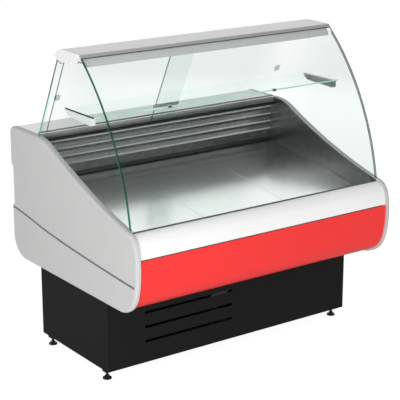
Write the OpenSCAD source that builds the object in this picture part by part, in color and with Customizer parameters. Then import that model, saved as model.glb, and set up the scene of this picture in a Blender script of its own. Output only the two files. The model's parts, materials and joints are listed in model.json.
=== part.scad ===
// Curved-glass refrigerated deli counter, free standing on four levelling feet.
// Millimetres. X runs along the counter, -Y is the customer side, +Y the staff side, Z is up.
// The origin is on the floor under the middle of the case.

/* [Overall] */
// Overall length over the two end panels
case_w = 1260; // [1160:10:1360]
// Half depth, front nose or rear edge to the middle
half_d = 478;
// Thickness of each moulded end panel
panel_t = 28; // [24:1:34]
// Height of the worktop above the floor
work_z = 905;
// Height of the canopy above the floor
top_z = 1283;

/* [Base] */
// Half length of the plinth
plinth_hw = 608;
// Front face of the plinth
plinth_y0 = -225; // [-260:5:-200]
// Rear face of the plinth
plinth_y1 = 288; // [270:2:300]
// Bottom edge of the plinth above the floor
plinth_z = 46; // [40:1:54]
// Underside of the body
body_z = 346;
// Foot pad diameter
pad_d = 36; // [30:1:44]
// Slots in the front plinth panel
vent_n = 3; // [1:1:3]
// Height of one slot
vent_h = 12; // [6:1:16]

/* [Glass] */
// Radius of the outside of the front glass
glass_r = 1020;
// Centre of the front glass arc, depth
glass_cy = 598;
// Centre of the front glass arc, height
glass_cz = 514;
// Thickness of the fixed glass
glass_t = 6;
// Lean of the rear doors from upright, degrees
lean = 26.7;
// Front track plane, measured square to the doors
track_front = 641.5;
// Rear track plane, measured square to the doors
track_rear = 655.8;
// Thickness of the door glass
door_t = 5; // [4:0.5:5]
// Outer edge of the closed doors from the middle
door_x = 567; // [540:1:580]
// Half of the door overlap
door_lap = 66; // [40:1:80]
// Height of the shelf top
shelf_z = 1056; // [1046:1:1066]

/* [Interior] */
// Fall of the display deck from rear to front, degrees
deck_fall = 7.4; // [6:0.2:8]
// Height of the rear edge of the deck
deck_z = 704;
// Louvres in the rear wall
louvre_n = 4; // [2:1:4]

/* [Hidden] */
$fn = 48;
hw = case_w / 2;
in_x = hw - panel_t;
tub_x = in_x - 2;
skin_x = in_x + 9;
glass_x = in_x + 9;
edge_r = 12;
e = 0.3;

// ---- outline helpers: points are [depth, height] ----
function arc(c, r, a0, a1, n) =
    [for (i = [0:n]) let (a = a0 + (a1 - a0) * i / n) [c[0] + r * cos(a), c[1] + r * sin(a)]];
function bez(p, q, r, s, n) =
    [for (i = [0:n]) let (t = i / n, u = 1 - t)
        u * u * u * p + 3 * u * u * t * q + 3 * u * t * t * r + t * t * t * s];
function shift(pts, d) = [for (p = pts) p + d];

// Sweep of the end panel: flat top, falling S, nose, front bow, rounded bottom corners
rear_c = [half_d - 25, work_z - 25];
hump_c = [262, work_z - 225];
hump_a = 26.5;
fall_a = 12.6;
nose_c = [-399.1, 608.4];
nose_a = 164;
bow_c = [-178, 545];
low_c = [-58, 545];
low_a = 194.8;
toe_c = [-345, body_z + 123.1];
heel_c = [half_d - 97, body_z + 95];
hump_end = hump_c + 225 * [-sin(hump_a), cos(hump_a)];
nose_top = nose_c + 70 * [-sin(fall_a), cos(fall_a)];
fall_r = norm(hump_end - nose_top) / (2 * sin((hump_a - fall_a) / 2));
fall_c = hump_end + fall_r * [-sin(hump_a), cos(hump_a)];

// Line of the panel top from the flat down to the nose, d inside the surface
function fall_line(d) = concat(
    arc(hump_c, 225 - d, 90, 90 + hump_a, 6),
    [for (i = [1:12]) let (a = hump_a + (fall_a - hump_a) * i / 12)
        fall_c + (fall_r + d) * [sin(a), -cos(a)]]);
function front_line(d, a0, a1, n) = arc(nose_c, 70 - d, a0, a1, n);
function panel_line(d) = concat(
    arc(rear_c, 25 - d, 0, 90, 5),
    fall_line(d),
    arc(nose_c, 70 - d, 90 + fall_a + 6, nose_a, 7),
    arc(bow_c, 300 - d, nose_a + 4, 180, 3),
    arc(low_c, 420 - d, 184, low_a, 4),
    arc(toe_c, 123.1 - d, low_a + 8, 270, 8),
    arc(heel_c, 95 - d, 270, 360, 7));

// Curved skin between two lines of the front bow, given by height at the joint
joint_z = 579;
joint_a = asin((joint_z - low_c[1]) / 411);
function upper_skin(d) = concat(
    arc(bow_c, 300 - d, 180 - joint_a * 1.41, nose_a, 4),
    arc(nose_c, 70 - d, nose_a + (104 - nose_a) / 9, 104, 8));
function lower_skin(d) = concat(
    arc(bow_c, 300 - d, 180 - joint_a * 1.36 + 0.6, 180, 3),
    arc(low_c, 420 - d, 184, low_a, 4),
    arc(toe_c, 123.1 - d, low_a + 4, 245, 7));
// Front of the end panel where the skins run into it
function rebate_line(d) = concat(
    arc(nose_c, 70 - d, 101, nose_a, 9),
    arc(bow_c, 300 - d, nose_a + 4, 180, 3),
    arc(low_c, 420 - d, 184, low_a, 4),
    arc(toe_c, 123.1 - d, low_a + 4, 248, 7));

module strip(outer, inner) {
    polygon(concat(outer, [for (i = [len(inner) - 1:-1:0]) inner[i]]));
}

// Extrude a [depth, height] outline along X
module along(x0, x1) {
    translate([x0, 0, 0]) rotate([90, 0, 90]) linear_extrude(x1 - x0) children();
}

// Part of a tube round an X axis, angles measured from +Y towards +Z
module tube_sector(c, r0, r1, a0, a1, x0, x1) {
    translate([0, c[0], c[1]]) rotate([a0, 0, 0]) rotate([0, 90, 0]) rotate([0, 0, 90])
        rotate_extrude(angle = a1 - a0, $fn = 120) translate([r0, x0]) square([r1 - r0, x1 - x0]);
}

// Place in the leaning frame of the rear doors: y is square to the glass, z runs up the slope
module lean_frame() {
    rotate([lean, 0, 0]) children();
}

module box(x0, x1, y0, y1, z0, z1) {
    translate([x0, y0, z0]) cube([x1 - x0, y1 - y0, z1 - z0]);
}

module rod(p, r, l, ax) {
    translate(p) rotate(ax == "x" ? [0, 90, 0] : ax == "y" ? [-90, 0, 0] : [0, 0, 0]) cylinder(r = r, h = l);
}

// ---- base ----
foot_x = 583;
foot_y = [-177, 252];

// Angle iron lying along X or Y, flanges t wide and 3 thick, heel at the outer bottom or top edge
module angle_iron(x0, x1, y0, y1, z0, up, out) {
    box(x0, x1, y0, y1, up ? z0 : z0 - 3, up ? z0 + 3 : z0);
    if (x1 - x0 > y1 - y0)
        box(x0, x1, out > 0 ? y1 - 3 : y0, out > 0 ? y1 : y0 + 3, up ? z0 : z0 - 24, up ? z0 + 24 : z0);
    else
        box(out > 0 ? x1 - 3 : x0, out > 0 ? x1 : x0 + 3, y0, y1, up ? z0 : z0 - 24, up ? z0 + 24 : z0);
}

module base_frame() color([0.16, 0.16, 0.17]) {
    t = 30;
    difference() {
        union() {
            for (s = [-1, 1]) {
                x = s * (plinth_hw - 2.5 - t / 2);
                for (y = [plinth_y0 + 3, plinth_y1 - 3 - t])
                    difference() {
                        box(x - t / 2, x + t / 2, y, y + t, plinth_z, body_z - 2);
                        box(x - t / 2 + 2, x + t / 2 - 2, y + 2, y + t - 2, plinth_z + 4, body_z + 1);
                    }
                for (up = [true, false])
                    angle_iron(x - t / 2, x + t / 2, plinth_y0 + 2 + t, plinth_y1 - 2 - t,
                        up ? plinth_z : body_z - 2, up, s);
                // bosses for the studs of the levelling feet
                for (y = foot_y) translate([s * foot_x - 14, y - 14, plinth_z - 16]) cube([28, 28, 20]);
            }
            for (y = [plinth_y0 + 3, plinth_y1 - 3 - t]) for (up = [true, false])
                angle_iron(-plinth_hw + 1.5 + t, plinth_hw - 1.5 - t, y, y + t,
                    up ? plinth_z : body_z - 2, up, y > 0 ? 1 : -1);
        }
        for (s = [-1, 1]) for (y = foot_y) rod([s * foot_x, y, plinth_z - 17], 5.05, 38, "z");
    }
}

module foot(sx, y) color([0.1, 0.1, 0.1]) {
    translate([sx * foot_x, y, 0]) {
        cylinder(d = pad_d, h = 5);
        translate([0, 0, 5]) cylinder(d = pad_d - 8, h = 3);
        translate([0, 0, 8]) cylinder(d = 19, h = 7, $fn = 6);
        translate([0, 0, 15]) cylinder(r = 5, h = 48);
    }
}
module foot_front_left() foot(-1, foot_y[0]);
module foot_front_right() foot(1, foot_y[0]);
module foot_rear_left() foot(-1, foot_y[1]);
module foot_rear_right() foot(1, foot_y[1]);

module plinth_front_panel() color([0.13, 0.13, 0.13])
    difference() {
        box(-plinth_hw, plinth_hw, plinth_y0, plinth_y0 + 2, plinth_z, body_z - 1);
        for (i = [0:vent_n - 1]) {
            box(-433 + vent_h / 2, -vent_h / 2, plinth_y0 - 1, plinth_y0 + 3,
                136 + 61 * i - vent_h / 2, 136 + 61 * i + vent_h / 2);
            for (x = [-433 + vent_h / 2, -vent_h / 2])
                rod([x, plinth_y0 - 1, 136 + 61 * i], vent_h / 2, 4, "y");
        }
    }

module plinth_side(s) color([0.13, 0.13, 0.13])
    box(s > 0 ? plinth_hw - 2 : -plinth_hw, s > 0 ? plinth_hw : -plinth_hw + 2,
        plinth_y0 + 2.5, plinth_y1, plinth_z, body_z - 1);
module plinth_left_panel() plinth_side(-1);
module plinth_right_panel() plinth_side(1);

// Lift-off grille that closes the rear of the plinth
module service_grille() color([0.15, 0.15, 0.15])
    difference() {
        union() {
            box(-570, 570, plinth_y1 + 1, plinth_y1 + 3, plinth_z + 8, body_z - 6);
            for (i = [0:8]) for (x = [-520, 30])
                translate([x, plinth_y1 + 3, 100 + 24 * i]) rotate([0, 90, 0])
                    cylinder(r = 4, h = 490, $fn = 4);
        }
        for (i = [0:8]) for (x = [-520, 30])
            box(x + 6, x + 484, plinth_y1, plinth_y1 + 5, 100.5 + 24 * i, 112 + 24 * i);
    }

module base_tray() color([0.6, 0.61, 0.62]) {
    box(-575, 575, plinth_y0 + 34, plinth_y1 - 34, plinth_z + 12, plinth_z + 14);
    for (y = [plinth_y0 + 34, plinth_y1 - 36])
        box(-575, 575, y, y + 2, plinth_z + 14, plinth_z + 30);
}

tray_top = plinth_z + 14;

module compressor() color([0.1, 0.1, 0.11]) {
    translate([300, 70, tray_top + e]) {
        translate([0, 0, 16]) cylinder(r = 78, h = 98);
        translate([0, 0, 114]) cylinder(r1 = 78, r2 = 52, h = 30);
        translate([0, 0, 144]) cylinder(r1 = 52, r2 = 20, h = 12);
        translate([-100, -62, 12]) cube([200, 124, 5]);
        for (x = [-86, 86]) for (y = [-48, 48]) translate([x, y, 0]) cylinder(r = 11, h = 12);
        translate([-30, -104, 60]) cube([60, 34, 56]);
    }
}

module condenser_coil() color([0.75, 0.76, 0.78]) {
    x0 = -440;
    x1 = -80;
    for (x = [x0, x1 - 3]) box(x, x + 3, -185, -135, tray_top + 1, tray_top + 235);
    for (i = [0:29]) box(x0 + 12 + 11.6 * i, x0 + 12.8 + 11.6 * i, -182, -138, tray_top + 3, tray_top + 232);
    for (i = [0:7]) for (y = [-171, -149]) rod([x0 - 8, y, tray_top + 18 + 28 * i], 4, x1 - x0 + 16, "x");
}

fan_c = [-260, -100, tray_top + 118];
module condenser_fan_housing() color([0.2, 0.2, 0.21]) {
    difference() {
        box(-436, -84, -130, -126, tray_top + 1, tray_top + 234);
        rod([fan_c[0], -131, fan_c[2]], 101, 6, "y");
    }
    difference() {
        rod([fan_c[0], -126, fan_c[2]], 106, 22, "y");
        rod([fan_c[0], -127, fan_c[2]], 101, 24, "y");
    }
    difference() {
        rod([fan_c[0], -62, fan_c[2]], 40, 56, "y");
        rod([fan_c[0], -63, fan_c[2]], 5.05, 30, "y");
    }
    for (a = [45, 135, 225, 315])
        translate([fan_c[0], -64, fan_c[2]]) rotate([0, a, 0]) translate([38, 0, -4]) cube([68, 4, 8]);
    for (a = [45, 135, 225, 315])
        translate([fan_c[0], -104, fan_c[2]]) rotate([0, a, 0]) translate([101.5, 0, -4]) cube([4.5, 41, 8]);
}

// Axial fan: hub, five pitched blades and shaft, turning about Y
module fan(r, hub, h, n, shaft) {
    rod([0, -h / 2, 0], hub, h, "y");
    rod([0, h / 2, 0], 5, shaft, "y");
    for (i = [0:n - 1]) rotate([0, 360 / n * i, 0])
        translate([hub - 1, 0, 0]) rotate([28, 0, 0])
            linear_extrude(2.4, center = true)
                polygon([[0, -h / 3], [r - hub, -h * 0.62], [r - hub + 1, h * 0.5], [0, h / 3]]);
}
module condenser_fan_blade() color([0.85, 0.85, 0.82])
    translate([fan_c[0], -105, fan_c[2]]) fan(92, 27, 26, 5, 52);

// Round tube through the points p, each square turn bent to the radius br
module pipe(p, r, br) {
    n = len(p);
    for (i = [0:n - 2]) {
        u = (p[i + 1] - p[i]) / norm(p[i + 1] - p[i]);
        a = p[i] + (i > 0 ? br : 0) * u;
        b = p[i + 1] - (i < n - 2 ? br : 0) * u;
        x = [u[1], u[2], u[0]];
        y = cross(u, x);
        multmatrix([[x[0], y[0], u[0], a[0]], [x[1], y[1], u[1], a[1]], [x[2], y[2], u[2], a[2]],
            [0, 0, 0, 1]])
            cylinder(r = r, h = norm(b - a));
        if (i < n - 2) {
            v = (p[i + 2] - p[i + 1]) / norm(p[i + 2] - p[i + 1]);
            w = cross(u, v);
            c = b + br * v;
            multmatrix([[-v[0], u[0], w[0], c[0]], [-v[1], u[1], w[1], c[1]], [-v[2], u[2], w[2], c[2]],
                [0, 0, 0, 1]])
                rotate_extrude(angle = 90) translate([br, 0]) circle(r = r, $fn = 24);
        }
    }
}

// Where the two copper lines rise through the floor of the tub
line_x = [-50, -10];
line_y = 200;

// Discharge, liquid (with the filter drier) and suction line between compressor and coils
module refrigerant_lines() color([0.72, 0.42, 0.25]) {
    coil_end = -80 + 8 + e;
    top = tray_top + 214;
    low = tray_top + 18;
    pipe([[300 - 78 - e, 70, tray_top + 90], [170, 70, tray_top + 90], [170, 70, top], [line_x[0], 70, top],
        [line_x[0], -149, top], [coil_end - 0.01, -149, top]], 4, 20);
    pipe([[coil_end, -149, low], [line_x[0], -149, low], [line_x[0], line_y, low],
        [line_x[0], line_y, 447]], 4, 20);
    rod([line_x[0], line_y, tray_top + 90], 16, 110, "z");
    pipe([[line_x[1], line_y, 447], [line_x[1], line_y, tray_top + 60], [300, line_y, tray_top + 60],
        [300, 70 + 78 + e, tray_top + 60]], 6, 24);
}

module electrical_box() color([0.78, 0.78, 0.76]) {
    box(420, 560, 20, 130, tray_top + 2, tray_top + 120);
    box(424, 556, 130, 134, tray_top + 8, tray_top + 114);
    for (x = [450, 490, 530]) rod([x, 75, tray_top + 120], 9, 14, "z");
}

drain_p = [120, -60];
module evaporation_tray() color([0.2, 0.2, 0.2])
    difference() {
        box(20, 220, -170, -35, tray_top + 1, tray_top + 70);
        box(23, 217, -167, -38, tray_top + 4, tray_top + 71);
    }

module drain_pipe() color([0.75, 0.75, 0.73])
    difference() {
        union() {
            rod([drain_p[0], drain_p[1], tray_top + 40], 16, 428 - tray_top - 40, "z");
            rod([drain_p[0], drain_p[1], 425.5], 26, 3, "z");
        }
        rod([drain_p[0], drain_p[1], tray_top + 39], 13, 400, "z");
    }

// ---- body ----
// Inside of the tub, d outside the steel
function tub_line(d) = [
    [326 + d, 873], [326 + d, 440 - d], [drain_p[1] + 40, 424 - d], [drain_p[1] - 40, 424 - d],
    [-378 - d, 440 - d], [-392 - d, 640], [-396 - d, 652]];

module insulated_tub() color([0.72, 0.73, 0.74])
    difference() {
        along(-in_x + 1, in_x - 1) polygon(concat(
            [[443, 360], [443, 872.5], [332, 872.5]],
            [[-392, 648], [-420, 640]],
            arc([-178, 545], 272, 166, 180, 3),
            arc([-58, 545], 392, 184, 193, 3),
            arc([-345, 469.1], 106, 200, 270, 6)));
        along(-in_x - 5, in_x + 5) polygon(concat(tub_line(2.4), [[-386, 900], [332, 900]]));
        rod([drain_p[0], drain_p[1], 340], 16.5, 120, "z");
        for (x = line_x) rod([x, line_y, 340], 8, 120, "z");
    }

module tub_liner() color([0.66, 0.67, 0.69])
    difference() {
        union() {
            along(-tub_x, tub_x) strip(tub_line(1.2), tub_line(0));
            // end walls rise to just under the panel top
            for (x = [-tub_x - 1, tub_x - 1])
                along(x, x + 2) polygon(concat([[326, 871], [326, 440], [drain_p[1] + 40, 424],
                    [drain_p[1] - 40, 424], [-378, 440], [-392, 640], [-395, 652], [-395, 667]],
                    [for (i = [11:-1:3]) fall_line(3)[6 + i]], [[160, 871]]));
            // ledges that carry the deck
            along(-tub_x + 1, tub_x - 1) polygon([[284, 694], [326, 694], [326, 697], [284, 697]]);
            along(-tub_x + 1, tub_x - 1) polygon([[-391, 602], [-370, 602], [-370, 605], [-391, 605]]);
        }
        rod([drain_p[0], drain_p[1], 400], 16.5, 40, "z");
        for (x = line_x) rod([x, line_y, 400], 8, 60, "z");
    }

module rear_body_panel() color([0.78, 0.78, 0.78]) {
    along(-in_x + 1, in_x - 1)
        polygon([[445.5, 879], [445.5, 350], [300, 350], [300, 351.3], [444.2, 351.3], [444.2, 879]]);
}

module evaporator_coil() color([0.74, 0.75, 0.77]) {
    for (x = [-520, 517]) box(x, x + 3, 190, 305, 446, 585);
    for (i = [0:59]) box(-505 + 17 * i, -504 + 17 * i, 193, 302, 449, 582);
    for (i = [0:3]) for (j = [0:3]) rod([-530, 210 + 26 * j, 465 + 33 * i], 5, 1060, "x");
}

fan_x = 280;
fan_z = 540;
module evaporator_fan_plate() color([0.7, 0.71, 0.72]) {
    difference() {
        union() {
            box(-585, 585, 120, 122, 432, 660);
            for (x = [-fan_x, fan_x]) rod([x, 106, fan_z], 84, 14, "y");
        }
        for (x = [-fan_x, fan_x]) rod([x, 100, fan_z], 81, 40, "y");
    }
    for (x = [-fan_x, fan_x]) {
        difference() {
            rod([x, 140, fan_z], 30, 38, "y");
            rod([x, 139, fan_z], 5.05, 24, "y");
        }
        for (a = [0, 90, 180, 270])
            translate([x, 138, fan_z]) rotate([0, a, 0]) translate([29, 2, -3]) cube([59, 3, 6]);
        for (a = [0, 90, 180, 270])
            translate([x, 122, fan_z]) rotate([0, a, 0]) translate([83, 0, -3]) cube([5, 18, 6]);
    }
}
module evaporator_fan_left() color([0.2, 0.2, 0.2]) translate([-fan_x, 116, fan_z]) fan(76, 22, 20, 5, 34);
module evaporator_fan_right() color([0.2, 0.2, 0.2]) translate([fan_x, 116, fan_z]) fan(76, 22, 20, 5, 34);

module front_upper_panel() color([0.97, 0.97, 0.96])
    along(-skin_x, skin_x) strip(upper_skin(9), upper_skin(12));

module front_lower_panel() color([0.9, 0.2, 0.18])
    along(-skin_x, skin_x) strip(lower_skin(9), lower_skin(12));

// Rubber channel that the lower edge of the front glass closes on
module glass_channel() color([0.12, 0.12, 0.12])
    along(-in_x + 0.5, in_x - 0.5) polygon([
        [-412.6, 668.5], [-412.6, 661], [-399.5, 657], [-398, 662], [-400, 668.3], [-403, 668.3], [-404, 664],
        [-410.4, 664.6], [-411.2, 668.5]]);

module end_panel(s) color([0.79, 0.79, 0.78])
    mirror([s > 0 ? 0 : 1, 0, 0])
        difference() {
            rings = [[in_x, 0], [hw - edge_r, 0], [hw - edge_r / 2, 1.6], [hw - 1.6, 6], [hw, edge_r]];
            n = len(panel_line(0));
            polyhedron(
                points = [for (r = rings) for (p = panel_line(r[1])) [r[0], p[0], p[1]]],
                faces = concat(
                    [[for (i = [0:n - 1]) i]],
                    [[for (i = [n - 1:-1:0]) 4 * n + i]],
                    [for (k = [0:3]) for (i = [0:n - 1]) [k * n + i, (k + 1) * n + i, k * n + (i + 1) % n]],
                    [for (k = [0:3]) for (i = [0:n - 1])
                        [k * n + (i + 1) % n, (k + 1) * n + i, (k + 1) * n + (i + 1) % n]]));
            // recess along the rear edge
            box(in_x - 1, hw + 1, half_d - 22, half_d + 5, 566, 742);
            // slot for the side glass
            along(glass_x - 6.4, glass_x + 0.4) polygon(concat(
                [[272, 920], [272, work_z - 12]], fall_line(12), [[-430, 700]]));
            // rebate that the lower corner of the front glass closes into
            along(in_x - 1, glass_x + 0.4) polygon([[-445, 700], [-445, 667], [-397, 667], [-397, 700]]);
            // rebate that the ends of the two front skins sit in
            along(in_x - 1, in_x + 10) strip(rebate_line(-8), rebate_line(12.5));
            // decorative groove from the rear step to the edge of the front bow
            along(hw - 5, hw + 5) strip(shift(groove_line, [0, 5]), shift(groove_line, [0, -5]));
        }
groove_line = concat(
    bez([half_d + 10, 562], [440, 561], [330, 545], [245, 531], 8),
    [for (i = [1:10]) bez([245, 531], [120, 511], [-220, 484], [-458, 472], 10)[i]]);
module end_panel_left() end_panel(-1);
module end_panel_right() end_panel(1);

module worktop() color([0.76, 0.76, 0.75])
    along(-in_x + 0.5, in_x - 0.5)
        polygon(concat([[291, 881], [291, 902], [293, 904.5]],
            arc([452, 894.5], 10, 90, 0, 5), arc([459, 884], 3, 0, -90, 3), [[447, 881]]));

// Louvred air grille in front of the rear wall
module louvre_panel() color([0.6, 0.61, 0.62])
    difference() {
        union() {
            box(-tub_x + 3, tub_x - 3, 296, 298, 718, 880);
            for (i = [0:louvre_n - 1])
                along(-tub_x + 3, tub_x - 3) polygon(shift(
                    [[297, 22], [288, 4], [288, 0], [295, 0], [295, 2], [290, 2.5], [290, 4.5], [297, 19]],
                    [0, 755 + 34 * i]));
            for (x = [-tub_x + 3, 0, tub_x - 13]) box(x, x + 10, 298, 325, 730, 740);
        }
        for (i = [0:louvre_n - 1]) for (k = [0:3])
            box(-570 + 290 * k, -300 + 290 * k, 295.5, 299, 757.5 + 34 * i, 770 + 34 * i);
    }

module deck_tray(x0, x1) color([0.8, 0.81, 0.82])
    translate([0, 294, deck_z]) rotate([deck_fall, 0, 0])
        along(x0, x1) polygon([[0, 0], [-684, 0], [-686, -2], [-686, -10], [-684, -10], [-683, -2],
            [-22, -2], [-2, -2], [-2, -6], [0, -6]]);
module deck_tray_left() deck_tray(-tub_x + 3, -200.7);
module deck_tray_centre() deck_tray(-199.3, 199.3);
module deck_tray_right() deck_tray(200.7, tub_x - 3);

// ---- staff-side controls ----
ctl = [-330, 445.6, 820];
module control_panel() color([0.15, 0.15, 0.16])
    difference() {
        box(ctl[0] - 120, ctl[0] + 120, ctl[1], ctl[1] + 7, ctl[2] - 35, ctl[2] + 35);
        box(ctl[0] - 100.3, ctl[0] - 22.7, ctl[1] + 1, ctl[1] + 8, ctl[2] - 18.3, ctl[2] + 18.3);
        for (x = [30, 80])
            box(ctl[0] + x - 11.3, ctl[0] + x + 11.3, ctl[1] + 1, ctl[1] + 8, ctl[2] - 15.3, ctl[2] + 15.3);
    }
module thermostat_body() color([0.08, 0.08, 0.09])
    difference() {
        box(ctl[0] - 100, ctl[0] - 23, ctl[1] + 1.2, ctl[1] + 9, ctl[2] - 18, ctl[2] + 18);
        box(ctl[0] - 94, ctl[0] - 54, ctl[1] + 8.2, ctl[1] + 10, ctl[2] - 10, ctl[2] + 10);
        for (z = [-8, 8]) rod([ctl[0] - 38, ctl[1] + 4, ctl[2] + z], 5.4, 8, "y");
    }
module thermo_button(z) color([0.75, 0.75, 0.75]) {
    rod([ctl[0] - 38, ctl[1] + 6.2, ctl[2] + z], 5, 4, "y");
}
module thermostat_button_up() thermo_button(8);
module thermostat_button_down() thermo_button(-8);
module rocker(x, c) color(c)
    translate([ctl[0] + x, ctl[1] + 6, ctl[2]]) rotate([0, 90, 0]) {
        translate([0, 0, -10]) linear_extrude(20)
            polygon([[-14, 2], [-13, 3.6], [0, 2], [13, 0.6], [14, -1], [8, -3.4], [-8, -3.4]]);
        // pins that it rocks on
        translate([0, 0, -11]) cylinder(r = 1.4, h = 22);
    }
module light_switch() rocker(30, [0.1, 0.45, 0.2]);
module power_switch() rocker(80, [0.1, 0.1, 0.1]);

// ---- glass superstructure ----
a_low = 180 - asin((669 - glass_cz) / glass_r);
a_top = 180 - asin((1270 - glass_cz) / glass_r);
module front_glass() color([0.75, 0.9, 0.85, 0.35])
    tube_sector([glass_cy, glass_cz], glass_r - glass_t, glass_r, a_top, a_low, -glass_x, glass_x);

// Slim rail bonded over the top edge of the front glass, with the round bead that it turns on
module glass_hinge_rail() color([0.25, 0.26, 0.27])
    difference() {
        union() {
            along(-glass_x, glass_x) polygon([[-89.5, 1267.5], [-78.5, 1278.5], [-74, 1279.3], [-72.8, 1277],
                [-81, 1266], [-84, 1264.5]]);
            rod([-glass_x, -79, 1279.2], 1.8, 2 * glass_x, "x");
        }
        tube_sector([glass_cy, glass_cz], glass_r - glass_t - e, glass_r + e, a_top - 0.02, a_low, -700, 700);
    }

// Side glass: leaning rear edge, curved front edge, foot in the panel slot
module side_glass(s) color([0.78, 0.92, 0.87, 0.35])
    along(s > 0 ? glass_x - 6 : -glass_x, s > 0 ? glass_x : -glass_x + 6)
        polygon(concat(
            [[720 - 0.503 * 1240, 1240], [720 - 0.503 * (work_z + 1), work_z + 1]],
            [for (i = [1:17]) fall_line(10)[i]],
            arc([glass_cy, glass_cz], glass_r - glass_t - 1.5, a_low - 0.15, a_top + 1.2, 20),
            [[-58, 1252]]));
module side_glass_left() side_glass(-1);
module side_glass_right() side_glass(1);

// Canopy section: sloping top, inclined rear, lip hanging behind the front glass
canopy_line = [[-72, 1280], [-66, 1281], [62, top_z], [84, 1277], [116, 1251.5], [88, 1237.5], [66, 1231],
    [-58, 1245]];
module canopy_profile() color([0.82, 0.82, 0.82])
    difference() {
        along(-in_x + 3, in_x - 3) union() {
            polygon(canopy_line);
            polygon([[-70, 1280], [-69, 1272], [-92, 1236], [-94.5, 1237.5], [-74, 1271], [-72, 1280]]);
        }
        along(-in_x - 4, in_x + 4)
            polygon([[-66, 1277.5], [61, 1279.6], [82, 1274], [108, 1252], [86, 1241], [66, 1234.5],
                [-55, 1248]]);
    }
module canopy_cap(s) color([0.9, 0.9, 0.89])
    difference() {
        along(s > 0 ? in_x - 2.7 : -in_x - 11, s > 0 ? in_x + 11 : -in_x + 2.7) polygon(canopy_line);
        along(s > 0 ? glass_x - 6.3 : -glass_x - 0.3, s > 0 ? glass_x + 0.3 : -glass_x + 6.3)
            polygon([[-100, 1254], [-60, 1254.5], [100, 1242.5], [140, 1240], [66, 1200], [-100, 1220]]);
        for (y = [-46, 59]) rod([s > 0 ? in_x + 9 : -in_x - 12, y, 1261], 5, 3, "x");
    }
module canopy_cap_left() canopy_cap(-1);
module canopy_cap_right() canopy_cap(1);

module canopy_lamp() color([0.97, 0.97, 0.95]) {
    rod([-540, -20, 1226], 8, 1080, "x");
    for (x = [-556, 540]) box(x, x + 16, -31, -9, 1218.5, 1239.2);
}

// Door tracks, drawn in the leaning frame
module upper_track() color([0.55, 0.56, 0.57])
    along(-in_x + 3.5, in_x - 3.5) rotate(lean)
        difference() {
            translate([track_front - 6, 1046]) square([track_rear - track_front + 12, 19]);
            for (w = [track_front, track_rear]) translate([w - 3.8, 1040]) square([7.6, 22.6]);
        }
module lower_track() color([0.14, 0.14, 0.14])
    along(-in_x + 0.8, in_x - 0.8) rotate(lean)
        polygon([[track_front - 6, 656], [track_front - 6, 668], [track_front - 3.8, 668],
            [track_front - 3.8, 660], [track_front + 3.8, 660], [track_front + 3.8, 690],
            [track_rear - 3.8, 690], [track_rear - 3.8, 682], [track_rear + 3.8, 682], [track_rear + 3.8, 690],
            [track_rear + 6, 690], [track_rear + 6, 677], [track_rear - 2, 677], [track_rear - 8.5, 660],
            [track_rear - 8.5, 656]]);

module door(x0, x1, w, h0) color([0.7, 0.88, 0.8, 0.4])
    lean_frame() box(x0, x1, w - door_t / 2, w + door_t / 2, h0, 1061);
module rear_door_left() door(-door_x, door_lap, track_rear, 682.6);
module rear_door_right() door(-door_lap, door_x, track_front, 660.6);

// Finger pull: small ring-shaped grip bonded near the outer edge of a door
module door_pull(x, w) color([0.3, 0.32, 0.32])
    lean_frame() difference() {
        union() {
            box(x - 12, x + 12, w, w + 5.5, 850, 862);
            box(x - 12, x + 12, w, w + 1.2, 842, 870);
        }
        rod([x, w + 1.4, 856], 3.5, 6, "y");
    }
module door_pull_left() door_pull(-door_x + 14, track_rear + door_t / 2 + 0.05);
module door_pull_right() door_pull(door_x - 14, track_front + door_t / 2 + 0.05);

// Lock bar hooked on the free edge of the front door
module door_lock_bar() color([0.55, 0.56, 0.57])
    lean_frame() {
        w = track_front + door_t / 2 + 0.1;
        box(-door_lap - 4, door_lap - 8, w, w + 3.5, 735, 753);
        box(-door_lap - 4, -door_lap - 0.3, w - door_t - 2.4, w, 735, 753);
        box(-door_lap - 4, -door_lap + 10, w - door_t - 2.4, w - door_t - 0.4, 735, 753);
        for (i = [0:20]) box(-door_lap + 12 + 4.8 * i, -door_lap + 14.4 + 4.8 * i, w + 3.5, w + 5, 738, 750);
    }

module shelf_glass() color([0.72, 0.9, 0.83, 0.4])
    box(-glass_x + 8, glass_x - 8, -155, 60, shelf_z - 6, shelf_z);

module shelf_bracket(s) color([0.9, 0.9, 0.9])
    mirror([s > 0 ? 0 : 1, 0, 0]) {
        difference() {
            along(glass_x - 22, glass_x - 6.3)
                polygon([[56, shelf_z - 6.4], [-142, shelf_z - 6.4], [-142, shelf_z - 34],
                    [-132, shelf_z - 38],
                    [26, shelf_z - 30], [40, shelf_z - 24]]);
            along(glass_x - 24, glass_x - 10)
                polygon([[34, shelf_z - 10], [-138, shelf_z - 10], [-138, shelf_z - 30], [26, shelf_z - 25]]);
        }
        for (y = [30, -122]) rod([glass_x - 18, y, shelf_z - 22], 6, 9, "x");
    }
module shelf_bracket_left() shelf_bracket(-1);
module shelf_bracket_right() shelf_bracket(1);

// Two small spring clips on the front edge of the shelf
module shelf_clips() color([0.6, 0.62, 0.62])
    for (x = [-260, 260]) along(x - 8, x + 8)
        polygon([[-157.5, shelf_z + 2], [-145, shelf_z + 2], [-145, shelf_z + 0.4], [-155.5, shelf_z + 0.4],
            [-155.5, shelf_z - 6.4], [-145, shelf_z - 6.4], [-145, shelf_z - 8], [-157.5, shelf_z - 8]]);

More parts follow.
